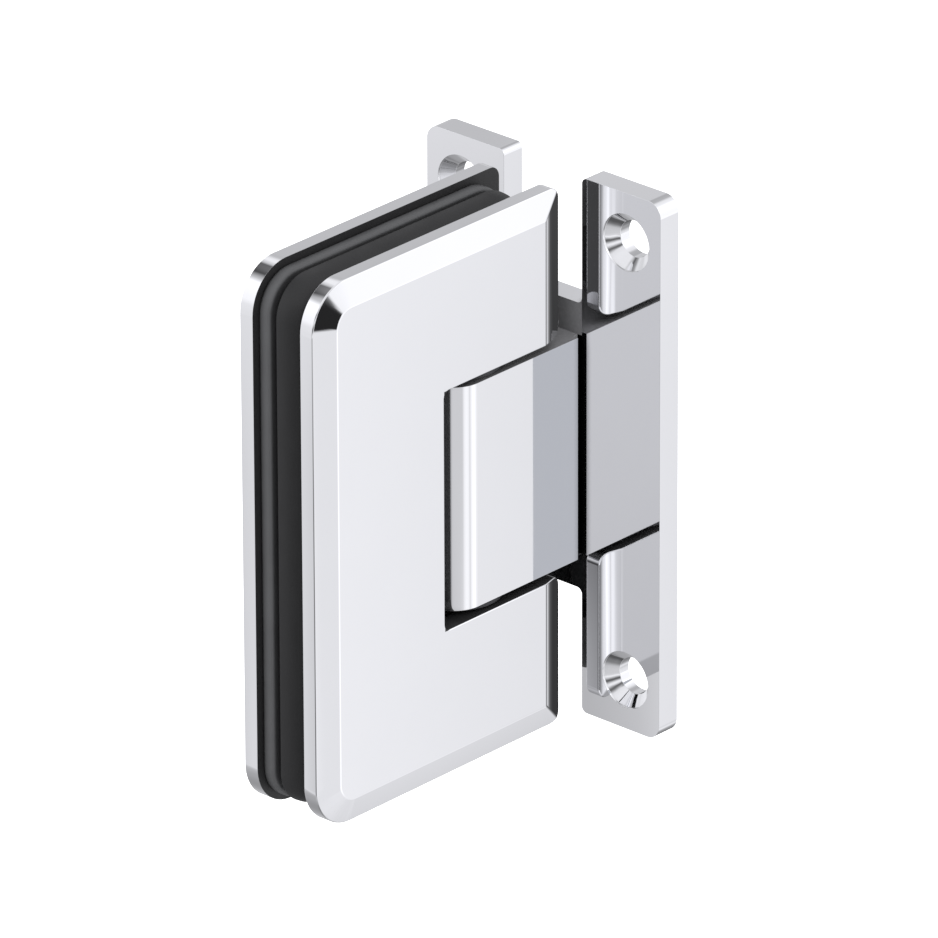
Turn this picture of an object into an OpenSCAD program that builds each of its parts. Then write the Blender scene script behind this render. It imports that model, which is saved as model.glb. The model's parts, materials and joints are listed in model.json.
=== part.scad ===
// Wall-mount hinge for a frameless glass door. Millimetres.
// +X points into the wall, -Y is the front of the door, +Z is up.
// The origin is the centre of the wall plate's back face.

/* [Wall plate] */
// Height of the wall plate
wall_h = 90; // [84:0.5:110]
// Width of the wall plate across both bars
wall_w = 48; // [44:0.5:64]
// Thickness of the wall plate
wall_t = 4.2; // [3.6:0.1:6]
// Width of each upright bar
bar_w = 16; // [13:0.5:18]
// Height of the crossbar that carries the pivot block
crossbar_h = 48; // [42:0.5:54]
// Radius of the outer corners of the bars
bar_outer_r = 2.5; // [1:0.5:5]
// Radius of the bar corners beside the openings
bar_inner_r = 1; // [0.5:0.5:3]
// Radius where the crossbar runs into the bars
crossbar_fillet = 1; // [0.5:0.25:2]

/* [Wall screw holes] */
// Distance of a hole from the side of the plate
hole_side = 7; // [6.5:0.25:8]
// Distance of a hole from the top or the bottom of the plate
hole_end = 8.25; // [7:0.25:11]
// Diameter of the through hole
hole_d = 6; // [5:0.1:6.5]
// Diameter of the countersink at the face
hole_mouth_d = 9.4; // [8.4:0.1:11]
// Depth of the straight rim above the countersink
hole_rim = 0.4; // [0.2:0.1:0.8]

/* [Clamp plates] */
// Height of the clamp plates
clamp_h = 90; // [84:0.5:110]
// Width of the clamp plates along the glass
clamp_w = 55; // [53:0.5:75]
// Gap between the clamp plates and the wall plate
clamp_gap = 4.6; // [4:0.1:6]
// Thickness of the flat band around the edge of a clamp plate
band_t = 2.6; // [2:0.1:4]
// Width of the bevel around the outer face
bevel_w = 4.2; // [3:0.1:5]
// Depth of the bevel
bevel_d = 1.2; // [0.8:0.1:2]
// Corner radius at the glass side
free_corner_r = 7.5; // [6:0.5:10]
// Corner radius at the wall side
wall_corner_r = 2; // [1:0.25:3]
// Distance between the two plates
plate_gap = 9.6; // [9:0.1:12]

/* [Notch] */
// Depth of the notch that the pivot block fills
notch_depth = 27.2; // [26.5:0.1:29]
// Clearance between the notch and the block, above and below
notch_side_gap = 1.3; // [1:0.1:2]
// Radius of the inner corners of the notch
notch_r = 1.2; // [0.6:0.1:2]
// Radius of the corners at the notch's mouth
notch_mouth_r = 2; // [0.5:0.25:3]

/* [Pivot block] */
// Height of the pivot block
block_h = 37.4; // [36:0.1:40]
// Length of the block from the wall plate
block_l = 28.8; // [28:0.1:29.4]
// Distance of the block's face behind the plate's face
block_recess = 0.5; // [0.3:0.1:0.8]
// Radius of the block's far edges
block_end_r = 5; // [4.5:0.1:5.5]
// Width and depth of the shadow groove beside the wall plate
shadow_groove = 1; // [0.6:0.1:1.4]

/* [Pivot] */
// Distance of the pivot axis from the wall plate
pivot_off = 20.3; // [19.8:0.1:20.8]
// Diameter of the pivot pin
pin_d = 11; // [10:0.1:11]
// Length of the pivot pin
pin_l = 66; // [62:0.5:70]
// Depth of the three detent flats on the pin
detent_depth = 0.5; // [0.3:0.05:0.6]
// Height of the detent flats
detent_h = 20; // [19.4:0.1:20.4]
// Wall of a bush
bush_wall = 1; // [0.8:0.1:1.2]
// Length of a bush
bush_l = 8; // [6:0.1:8.2]
// Diameter of a thrust washer
washer_d = 15; // [13.6:0.1:15.8]

/* [Detent] */
// Diameter of the plunger bores
plunger_d = 8; // [7.4:0.1:8]
// Height of each plunger above or below the middle
plunger_z = 5.2; // [5:0.1:5.5]
// Length of a plunger
plunger_l = 7.5; // [7:0.1:8]
// Length of the plunger's tapered nose
nose_l = 1.6; // [1:0.1:2]
// Diameter of the nose's flat end
nose_d = 4; // [3:0.1:5]
// Diameter of the spring pocket in a plunger
pocket_d = 5.9; // [5.6:0.1:6]
// Depth of the spring pocket
pocket_depth = 4; // [3.5:0.1:4.4]
// Length of a spring plug
plug_l = 4; // [3.5:0.1:4.4]
// Diameter of the spring wire
wire_d = 0.9; // [0.7:0.05:1]
// Number of turns of a spring
spring_turns = 4; // [3:0.5:5]

/* [Gaskets] */
// Distance of the gaskets inside the plate's edge
gasket_inset = 1.1; // [0.6:0.1:2]
// Thickness of the rear gasket
rear_gasket_t = 2.3; // [1.5:0.1:3]
// Thickness of the groove between the gaskets
groove_t = 1.3; // [0.8:0.1:2]
// Depth of that groove
groove_depth = 1.6; // [1:0.1:3]
// Width of the gasket along the free edge
gasket_spine = 15; // [12:0.5:15.5]
// Height of the gasket along the top and the bottom
gasket_arm = 12; // [8:0.5:13]

/* [Screws] */
// Diameter of the clamp, block and pin screws
screw_d = 5; // [4:0.1:5]
// Diameter of a countersunk head
head_d = 9.4; // [8.4:0.1:9.6]
// Width across flats of the hexagon sockets
socket_af = 3; // [2.5:0.1:3]
// Depth of the hexagon sockets
socket_depth = 1.6; // [1.2:0.1:2]
// Distance of the block screws above and below the middle
block_screw_z = 14.5; // [13.5:0.1:15]
// Length of the block screws
block_screw_l = 15; // [13:0.5:16]
// Distance of the clamp screws from the free edge
clamp_screw_x = 20.3; // [20:0.1:21]
// Height of the inner pair of clamp screws
clamp_screw_z1 = 10; // [8:0.5:12]
// Height of the outer pair of clamp screws
clamp_screw_z2 = 27; // [24:0.5:28]
// Depth of the clamp screws in the front plate
clamp_screw_grip = 1.8; // [1.4:0.1:2]
// Diameter of the screw bosses on the front plate
boss_d = 9; // [8:0.1:9.2]
// Distance of the pin screws from the ends of the pin's seat
pin_screw_inset = 3.4; // [3.2:0.1:3.6]

/* [Hidden] */
$fn = 96;
// Overlap of pieces of one solid, and how far a cut runs past the face that it opens
eps = 0.01;
over = 1;
// Running fit of the pin, sliding fit of a plunger and fit of what stays put, on the radius
run_fit = 0.03;
slide_fit = 0.05;
still_fit = 0.01;
// Room around the pin between the bushes
cavity_gap = 0.5;
// Clearance of a thrust washer and of a plunger's tip
washer_gap = 0.2;
tip_gap = 0.1;
// Depth of the screw heads below the face
screw_seat = 0.3;
// Clearance of a spring at its ends and around it
spring_end_gap = 0.05;
spring_side_gap = 0.2;
// Ribs that hold the pin's ends: distance beyond notch and pin, thickness, gap to the pin
saddle_start = 1;
saddle_wall = 3;
saddle_fit = 0.05;
// Room around those ribs in the gaskets
relief_gap = 0.3;
// Steps of a spring's helix in one turn, and sides of its wire
coil_steps = 18;
wire_sides = 8;

wall_face = -wall_t;
bar_opening = wall_w / 2 - bar_w;
clamp_near = wall_face - clamp_gap;
clamp_far = clamp_near - clamp_w;
plate_t = band_t + bevel_d;
clamp_half = plate_gap / 2 + plate_t;
notch_h = block_h + 2 * notch_side_gap;
block_half = clamp_half - block_recess;
pivot_x = wall_face - pivot_off;
// The pivot's distance from the free edge of the clamp plates
pivot_from_edge = pivot_x - clamp_far;
pin_r = pin_d / 2;
bush_r = pin_r + run_fit + bush_wall;
washer_t = notch_side_gap - washer_gap;
plunger_r = plunger_d / 2;
tip_x = pivot_x + pin_r + tip_gap;
plunger_back = tip_x + plunger_l;
plug_x = wall_face - tip_gap;
spring_x0 = plunger_back - pocket_depth + spring_end_gap;
spring_x1 = plug_x - plug_l - spring_end_gap;
screw_r = screw_d / 2;
head_r = head_d / 2;
saddle_z0 = notch_h / 2 + saddle_start;
saddle_z1 = pin_l / 2 + saddle_start;
saddle_half = pin_r + saddle_fit + saddle_wall;
pin_screw_zs = [saddle_z0 + pin_screw_inset, pin_l / 2 - pin_screw_inset];
pin_screw_l = plate_t - screw_seat;
boss_h = plate_gap / 2;
clamp_screw_l = plate_t + plate_gap + clamp_screw_grip - screw_seat;
clamp_screw_places = [
  for (z = [-clamp_screw_z2, -clamp_screw_z1, clamp_screw_z1, clamp_screw_z2]) [clamp_screw_x, z]
];
front_gasket_t = plate_gap - rear_gasket_t;

// Rectangle from x0,y0 to x1,y1 with its own radius at each corner
module round_rect(x0, x1, y0, y1, r00, r10, r11, r01) {
  polygon([
    [x0 + r00, y0], [x1 - r10, y0], [x1, y0 + r10], [x1, y1 - r11],
    [x1 - r11, y1], [x0 + r01, y1], [x0, y1 - r01], [x0, y0 + r00],
  ]);
  translate([x0 + r00, y0 + r00]) circle(r = r00);
  translate([x1 - r10, y0 + r10]) circle(r = r10);
  translate([x1 - r11, y1 - r11]) circle(r = r11);
  translate([x0 + r01, y1 - r01]) circle(r = r01);
}

// Stands a shape drawn in X and Z upright, growing towards -Y
module stand() {
  rotate([90, 0, 0]) children();
}

// Turns a shape drawn in Y and Z upright, growing towards +X
module face_wall() {
  rotate([90, 0, 90]) children();
}

// Turns a shape that stands on Z to lie along +X
module along_x() {
  rotate([0, 90, 0]) children();
}

module both_ends() {
  children();
  mirror([0, 0, 1]) children();
}

module hex_socket(depth) {
  cylinder(d = socket_af / cos(30), h = depth, $fn = 6);
}

// Countersunk screw, its head's face at z = 0 and its shank below
module flat_head_screw(length) {
  cone_h = head_r - screw_r;
  difference() {
    union() {
      translate([0, 0, -cone_h]) cylinder(r1 = screw_r, r2 = head_r, h = cone_h);
      translate([0, 0, -length]) cylinder(r = screw_r, h = length - cone_h);
    }
    translate([0, 0, -socket_depth]) hex_socket(socket_depth + over);
  }
}

// Room for that screw
module flat_head_hole(length) {
  cone_h = head_r - screw_r;
  translate([0, 0, -cone_h]) cylinder(r1 = screw_r + still_fit, r2 = head_r + still_fit, h = cone_h);
  cylinder(r = head_r + still_fit, h = over);
  translate([0, 0, -length]) cylinder(r = screw_r + still_fit, h = length - cone_h + eps);
}

// Wall plate

module bar_outline() {
  round_rect(
    bar_opening, wall_w / 2, -wall_h / 2, wall_h / 2,
    bar_inner_r, bar_outer_r, bar_outer_r, bar_inner_r
  );
}

// Crossbar with the fillets that run into both bars
module crossbar_outline() {
  difference() {
    square([2 * bar_opening + 2 * eps, crossbar_h + 2 * crossbar_fillet], center = true);
    for (s = [-1, 1]) translate([0, s * (crossbar_h / 2 + crossbar_fillet)]) {
      square([2 * (bar_opening - crossbar_fillet), 2 * crossbar_fillet], center = true);
      for (t = [-1, 1])
        translate([t * (bar_opening - crossbar_fillet), 0]) circle(r = crossbar_fillet);
    }
  }
}

module wall_hole() {
  sink = (hole_mouth_d - hole_d) / 2;
  translate([wall_face, 0, 0]) along_x() {
    translate([0, 0, -over]) cylinder(d = hole_mouth_d, h = over + hole_rim);
    translate([0, 0, hole_rim]) cylinder(d1 = hole_mouth_d, d2 = hole_d, h = sink);
    cylinder(d = hole_d, h = wall_t + over);
  }
}

// A block screw's place, its head towards the wall
module at_block_screw(s) {
  translate([-screw_seat, 0, s * block_screw_z]) along_x() children();
}

module wall_plate() color("gainsboro") {
  difference() {
    translate([wall_face, 0, 0]) face_wall() linear_extrude(wall_t) {
      bar_outline();
      mirror([1, 0]) bar_outline();
      crossbar_outline();
    }
    for (y = [-1, 1], z = [-1, 1])
      translate([0, y * (wall_w / 2 - hole_side), z * (wall_h / 2 - hole_end)]) wall_hole();
    for (s = [-1, 1]) at_block_screw(s) flat_head_hole(block_screw_l);
  }
}

// Pivot block and what it holds

module block_outline() {
  difference() {
    union() {
      translate([block_end_r - block_l, -block_half])
        square([block_l - block_end_r, 2 * block_half]);
      translate([-block_l, block_end_r - block_half])
        square([block_end_r + eps, 2 * (block_half - block_end_r)]);
      for (s = [-1, 1])
        translate([block_end_r - block_l, s * (block_half - block_end_r)]) circle(r = block_end_r);
    }
    for (s = [-1, 1])
      translate([0, s * block_half]) square(2 * shadow_groove, center = true);
  }
}

module pivot_block() color("gainsboro") {
  difference() {
    translate([wall_face, 0, -block_h / 2]) linear_extrude(block_h) block_outline();
    translate([pivot_x, 0, 0]) {
      cylinder(r = pin_r + cavity_gap, h = block_h + 2 * over, center = true);
      both_ends() translate([0, 0, block_h / 2 - bush_l]) cylinder(r = bush_r, h = bush_l + over);
    }
    for (s = [-1, 1]) {
      translate([pivot_x, 0, s * plunger_z]) along_x() cylinder(r = plunger_r, h = pivot_off + over);
      at_block_screw(s) flat_head_hole(block_screw_l + tip_gap);
    }
  }
}

module block_screws() color("silver") {
  for (s = [-1, 1]) at_block_screw(s) flat_head_screw(block_screw_l);
}

module bush() color("darkgoldenrod") {
  translate([pivot_x, 0, block_h / 2 - bush_l]) difference() {
    cylinder(r = bush_r - still_fit, h = bush_l);
    translate([0, 0, -over]) cylinder(r = pin_r + run_fit, h = bush_l + 2 * over);
  }
}

module upper_bush() {
  bush();
}

module lower_bush() {
  mirror([0, 0, 1]) bush();
}

module washer() color("dimgray") {
  translate([pivot_x, 0, block_h / 2]) difference() {
    cylinder(d = washer_d, h = washer_t);
    translate([0, 0, -over]) cylinder(r = pin_r + run_fit, h = washer_t + 2 * over);
  }
}

module upper_washer() {
  washer();
}

module lower_washer() {
  mirror([0, 0, 1]) washer();
}

// Detent plunger, its nose towards the pin and a spring pocket in its back
module plunger() color("silver") {
  body_r = plunger_r - slide_fit;
  translate([tip_x, 0, plunger_z]) along_x() difference() {
    union() {
      cylinder(r1 = nose_d / 2, r2 = body_r, h = nose_l);
      translate([0, 0, nose_l]) cylinder(r = body_r, h = plunger_l - nose_l);
    }
    translate([0, 0, plunger_l - pocket_depth]) cylinder(d = pocket_d, h = pocket_depth + over);
  }
}

module upper_plunger() {
  plunger();
}

module lower_plunger() {
  mirror([0, 0, 1]) plunger();
}

function helix_point(a, r, rise) = [r * cos(a), r * sin(a), rise * a / 360];

// One ring of the spring's wire, in the plane that holds the coil's axis
function wire_ring(a, coil_r, rise) = [
  for (k = [0 : wire_sides - 1])
    let (b = 360 * k / wire_sides, p = helix_point(a, coil_r + wire_d / 2 * cos(b), rise))
      p + [0, 0, wire_d / 2 * sin(b)]
];

// Coil spring as a round wire swept along a helix
module spring() color("darkgray") {
  coil_r = pocket_d / 2 - spring_side_gap - wire_d / 2;
  rise = (spring_x1 - spring_x0 - wire_d) / spring_turns;
  rings = floor(coil_steps * spring_turns);
  points = [for (i = [0 : rings]) each wire_ring(i * 360 / coil_steps, coil_r, rise)];
  sides = [
    for (i = [0 : rings - 1], k = [0 : wire_sides - 1])
      let (a = i * wire_sides, n = (k + 1) % wire_sides)
        [a + k, a + wire_sides + k, a + wire_sides + n, a + n]
  ];
  first = [for (k = [0 : wire_sides - 1]) k];
  last = [for (k = [wire_sides - 1 : -1 : 0]) rings * wire_sides + k];
  translate([spring_x0 + wire_d / 2, 0, plunger_z]) along_x()
    polyhedron(points, concat(sides, [first], [last]), convexity = 8);
}

module upper_spring() {
  spring();
}

module lower_spring() {
  mirror([0, 0, 1]) spring();
}

module spring_plug() color("dimgray") {
  translate([plug_x - plug_l, 0, plunger_z]) along_x() difference() {
    cylinder(r = plunger_r - still_fit, h = plug_l);
    translate([0, 0, plug_l - socket_depth]) hex_socket(socket_depth + over);
  }
}

module upper_spring_plug() {
  spring_plug();
}

module lower_spring_plug() {
  mirror([0, 0, 1]) spring_plug();
}

// Clamp. Its plates are drawn lying in X and Y, inner face at z = 0, free edge at x = 0.

// Section across a bevelled plate that is size wide
module bevel_section(size) {
  polygon([
    [0, 0], [size, 0], [size, band_t], [size - bevel_w, plate_t],
    [bevel_w, plate_t], [0, band_t],
  ]);
}

// What a round corner leaves of a square one at the origin
module corner_waste(r) {
  difference() {
    translate([-over, -over]) square(r + over);
    translate([r, r]) circle(r = r);
  }
}

// Large round corner at the origin, where the bevel runs round as a cone
module free_corner() {
  intersection() {
    cube([free_corner_r, free_corner_r, plate_t]);
    translate([free_corner_r, free_corner_r, 0]) {
      cylinder(r = free_corner_r, h = band_t);
      translate([0, 0, band_t])
        cylinder(r1 = free_corner_r, r2 = free_corner_r - bevel_w, h = bevel_d);
    }
  }
}

module plate_blank() {
  difference() {
    intersection() {
      translate([0, clamp_h / 2, 0]) rotate([90, 0, 0]) linear_extrude(clamp_h) bevel_section(clamp_w);
      translate([0, -clamp_h / 2, 0]) face_wall() linear_extrude(clamp_w) bevel_section(clamp_h);
    }
    for (s = [0, 1]) mirror([0, s, 0]) translate([0, -clamp_h / 2, -over]) {
      translate([-over, -over, 0]) cube([free_corner_r + over, free_corner_r + over, plate_t + 2 * over]);
      translate([clamp_w, 0, 0]) linear_extrude(plate_t + 2 * over) mirror([1, 0])
        corner_waste(wall_corner_r);
    }
  }
  for (s = [0, 1]) mirror([0, s, 0]) translate([0, -clamp_h / 2, 0]) free_corner();
}

// Notch for the pivot block, open at x = 0, with round corners inside and at its mouth
module notch_outline() {
  translate([-notch_depth, 0]) round_rect(
    0, notch_depth + notch_r + over, -notch_h / 2, notch_h / 2,
    notch_r, notch_r, notch_r, notch_r
  );
  for (s = [0, 1]) mirror([0, s]) translate([0, notch_h / 2]) mirror([1, 0])
    corner_waste(notch_mouth_r);
}

module clamp_plate() {
  difference() {
    plate_blank();
    translate([clamp_w, 0, -over]) linear_extrude(plate_t + 2 * over) notch_outline();
  }
}

module front_plate() color("gainsboro") {
  translate([clamp_far, -plate_gap / 2, 0]) stand() difference() {
    union() {
      clamp_plate();
      for (p = clamp_screw_places)
        translate([p.x, p.y, -boss_h]) cylinder(d = boss_d, h = boss_h + eps);
    }
    for (p = clamp_screw_places)
      translate([p.x, p.y, -boss_h - over])
        cylinder(r = screw_r + still_fit, h = boss_h + over + clamp_screw_grip);
  }
}

// Moves a shape from the plates' drawing to the rear plate's place
module at_rear() {
  mirror([0, 1, 0]) translate([clamp_far, -plate_gap / 2, 0]) stand() children();
}

// Two ribs beside one end of the pin, reaching to the front plate
module pin_saddle() {
  for (s = [-1, 1])
    translate([s * (saddle_half - saddle_wall / 2) - saddle_wall / 2, saddle_z0, -plate_gap])
      cube([saddle_wall, saddle_z1 - saddle_z0, plate_gap + eps]);
}

module rear_plate() color("gainsboro") {
  at_rear() difference() {
    union() {
      clamp_plate();
      for (s = [0, 1]) mirror([0, s, 0]) translate([pivot_from_edge, 0, 0]) pin_saddle();
    }
    for (p = clamp_screw_places)
      translate([p.x, p.y, plate_t - screw_seat]) flat_head_hole(clamp_screw_l);
    for (s = [-1, 1], z = pin_screw_zs)
      translate([pivot_from_edge, s * z, -over])
        cylinder(r = screw_r + still_fit, h = plate_t + 2 * over);
  }
}

module clamp_screws() color("silver") {
  at_rear() for (p = clamp_screw_places)
    translate([p.x, p.y, plate_t - screw_seat]) flat_head_screw(clamp_screw_l);
}

module pin_screws() color("dimgray") {
  at_rear() for (z = pin_screw_zs)
    translate([pivot_from_edge, z, 0]) difference() {
      cylinder(r = screw_r, h = pin_screw_l);
      translate([0, 0, pin_screw_l - socket_depth]) hex_socket(socket_depth + over);
    }
}

module upper_pin_screws() {
  pin_screws();
}

module lower_pin_screws() {
  mirror([0, 0, 1]) pin_screws();
}

module pivot_pin() color("silver") {
  reach = pin_r + over;
  translate([pivot_x, 0, 0]) difference() {
    cylinder(r = pin_r, h = pin_l, center = true);
    // Flats at the ends, held between the clamp plates
    both_ends() for (s = [-1, 1])
      translate([-reach, s > 0 ? plate_gap / 2 : -reach, notch_h / 2])
        cube([2 * reach, reach - plate_gap / 2, pin_l / 2]);
    // Detent flats for the closed door and for both open positions
    for (a = [-90, 0, 90]) rotate([0, 0, a])
      translate([pin_r - detent_depth, -reach, -detent_h / 2]) cube([reach, 2 * reach, detent_h]);
  }
}

// Gaskets

// C-shaped outline, open towards the wall and cleared around the seats of the pin
module gasket_outline(inset) {
  half = clamp_h / 2 - inset;
  far_r = free_corner_r - inset;
  relief_half = saddle_half + relief_gap;
  arm_edge = clamp_h / 2 - gasket_arm;
  difference() {
    round_rect(inset, clamp_w - inset, -half, half, far_r, far_r, far_r, far_r);
    translate([gasket_spine, -arm_edge])
      round_rect(0, clamp_w, 0, 2 * arm_edge, notch_r, notch_r, notch_r, notch_r);
    translate([pivot_from_edge - relief_half, -saddle_z1 - relief_gap])
      square([2 * relief_half, 2 * (saddle_z1 + relief_gap)]);
  }
}

module front_gasket() color("dimgray") {
  translate([clamp_far, -plate_gap / 2, 0]) rotate([90, 0, 0]) mirror([0, 0, 1]) {
    linear_extrude(front_gasket_t - groove_t) gasket_outline(gasket_inset);
    linear_extrude(front_gasket_t) gasket_outline(gasket_inset + groove_depth);
  }
}

module rear_gasket() color("dimgray") {
  translate([clamp_far, plate_gap / 2, 0]) stand() linear_extrude(rear_gasket_t)
    gasket_outline(gasket_inset);
}

wall_plate();
pivot_block();
block_screws();
upper_bush();
lower_bush();
upper_washer();
lower_washer();
upper_plunger();
lower_plunger();
upper_spring();
lower_spring();
upper_spring_plug();
lower_spring_plug();
front_plate();
rear_plate();
front_gasket();
rear_gasket();
pivot_pin();
clamp_screws();
upper_pin_screws();
lower_pin_screws();
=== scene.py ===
"""Looks of a wall-mount hinge for a glass door, laid out as an add-on and run as a script."""

import json
import math

import bmesh
import bpy
from bpy.props import FloatProperty, FloatVectorProperty, IntProperty, PointerProperty
from mathutils import Matrix, Vector


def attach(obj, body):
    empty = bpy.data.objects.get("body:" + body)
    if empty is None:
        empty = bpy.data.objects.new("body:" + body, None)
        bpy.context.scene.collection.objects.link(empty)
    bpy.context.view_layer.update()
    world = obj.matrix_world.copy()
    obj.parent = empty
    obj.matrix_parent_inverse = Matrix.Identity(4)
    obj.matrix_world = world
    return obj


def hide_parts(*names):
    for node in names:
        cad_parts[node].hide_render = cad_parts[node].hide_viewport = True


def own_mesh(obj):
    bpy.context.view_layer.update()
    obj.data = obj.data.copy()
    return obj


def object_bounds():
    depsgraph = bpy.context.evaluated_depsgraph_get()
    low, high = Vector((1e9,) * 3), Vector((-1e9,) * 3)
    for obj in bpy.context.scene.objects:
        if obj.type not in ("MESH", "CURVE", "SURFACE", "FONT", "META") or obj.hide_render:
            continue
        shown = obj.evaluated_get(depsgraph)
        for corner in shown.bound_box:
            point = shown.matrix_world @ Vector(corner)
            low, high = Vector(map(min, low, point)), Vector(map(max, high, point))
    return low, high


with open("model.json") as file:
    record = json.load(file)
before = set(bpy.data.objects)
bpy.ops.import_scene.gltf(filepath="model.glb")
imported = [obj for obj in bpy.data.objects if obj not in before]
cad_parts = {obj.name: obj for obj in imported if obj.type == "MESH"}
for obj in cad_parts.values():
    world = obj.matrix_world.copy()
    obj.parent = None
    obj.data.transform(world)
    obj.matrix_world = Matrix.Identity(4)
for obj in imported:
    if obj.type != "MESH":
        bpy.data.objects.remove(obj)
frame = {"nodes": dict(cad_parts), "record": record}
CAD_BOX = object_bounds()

bl_info = {
    "name": "Wall-mount hinge looks",
    "version": (1, 0, 0),
    "blender": (4, 5, 0),
    "location": "3D View > Sidebar > Hinge",
    "description": "Rounded edges, finishes and studio for a wall-mount glass-door hinge",
    "category": "Object",
}

MM = 0.001
# Places of the construction that the painted shade, the rolled edge and the grey card go by
WALL_FACE = -4.2 * MM
BAR_OPENING = 8 * MM
BLOCK_TOP = 18.7 * MM
BLOCK_SIDE = 8.1 * MM
PLATE_INSIDE = 4.8 * MM
NOTCH_END = -36 * MM
NOTCH_TOP = 20 * MM
CLAMP_END = -8.8 * MM
BAND_SIDE = 7.4 * MM
BEVEL_WIDE = 3.5 * MM
RIM_HEIGHT = 34.5 * MM
RIM_END = -52 * MM
# How far behind a flat face its painted shade reaches
FACE_DEPTH = 0.03 * MM
# Below this, a component of a face's normal counts as none
TILT = 0.02
BODY_OF = {
    node: body
    for body, nodes in frame["record"]["behaviour"]["bodies"].items()
    for node in nodes
}
SLOT_OF = {row["node"]: row["material_slot"] for row in frame["record"]["subparts"]}
# Screws run along their own Z before they turn
INTO_BLOCK = (0, math.radians(-90), 0)
INTO_CLAMP = (math.radians(90), 0, 0)
# Rows of screws, in millimetres: node, whether headed, length, first screw's place, step to the
# next screw, step to the next group, number of groups, turn
SCREW_ROWS = (
    ("block_screws", True, 15, (-0.3, 0, -14.5), (0, 0, 29), (0, 0, 0), 1, INTO_BLOCK),
    ("clamp_screws", True, 14.9, (-43.5, 8.3, -27), (0, 0, 17), (0, 0, 37), 2, INTO_CLAMP),
    ("upper_pin_screws", False, 3.5, (-24.5, 8.3, 24.4), (0, 0, 5.2), (0, 0, 0), 1, INTO_CLAMP),
    ("lower_pin_screws", False, 3.5, (-24.5, 8.3, -29.6), (0, 0, 5.2), (0, 0, 0), 1, INTO_CLAMP),
)


class HingeEdges(bpy.types.PropertyGroup):
    """Radii of the rounded edges."""

    plate: FloatProperty(
        name="Clamp plates", description="Edge radius of the clamp plates",
        default=0.32 * MM, min=0, unit="LENGTH",
    )
    wall_side: FloatProperty(
        name="Wall-side roll", description="Turn of the clamp plates' rolled edge at the wall",
        default=math.radians(62), min=0, subtype="ANGLE",
    )
    block: FloatProperty(
        name="Pivot block", description="Edge radius of the pivot block",
        default=0.42 * MM, min=0, unit="LENGTH",
    )
    wall: FloatProperty(
        name="Wall plate", description="Edge radius of the wall plate",
        default=0.45 * MM, min=0, unit="LENGTH",
    )
    gasket: FloatProperty(
        name="Gaskets", description="Radius of the gaskets' moulded edges",
        default=0.7 * MM, min=0, unit="LENGTH",
    )
    rim: FloatProperty(
        name="Front gasket's rim", description="Radius of the front gasket's rim at its plate",
        default=5.4 * MM, min=0, unit="LENGTH",
    )
    small: FloatProperty(
        name="Small parts", description="Edge radius of pins, bushes, washers and plugs",
        default=0.1 * MM, min=0, unit="LENGTH",
    )
    segments: IntProperty(
        name="Segments", description="Facets across a rounded edge", default=3, min=1, max=6,
    )


class HingeFittings(bpy.types.PropertyGroup):
    """Sizes of the screws and springs."""

    head_radius: FloatProperty(
        name="Screw head", description="Radius of a countersunk head",
        default=4.7 * MM, min=0, unit="LENGTH",
    )
    screw_radius: FloatProperty(
        name="Screw shank", description="Radius of a screw's shank",
        default=2.5 * MM, min=0, unit="LENGTH",
    )
    socket_width: FloatProperty(
        name="Hex socket", description="Width of a screw's socket across its flats",
        default=3 * MM, min=0, unit="LENGTH",
    )
    socket_depth: FloatProperty(
        name="Socket depth", description="Depth of a screw's socket",
        default=1.6 * MM, min=0, unit="LENGTH",
    )
    coil_radius: FloatProperty(
        name="Coil", description="Radius of the springs' coils to the middle of the wire",
        default=2.3 * MM, min=0, unit="LENGTH",
    )
    wire_radius: FloatProperty(
        name="Wire", description="Radius of the springs' wire",
        default=0.45 * MM, min=0, unit="LENGTH",
    )
    turns: FloatProperty(name="Turns", description="Turns of a spring", default=4.0, min=1)
    spring_height: FloatProperty(
        name="Spring height", description="Height of a spring's axis above or below the middle",
        default=5.2 * MM, min=0, unit="LENGTH",
    )


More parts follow.
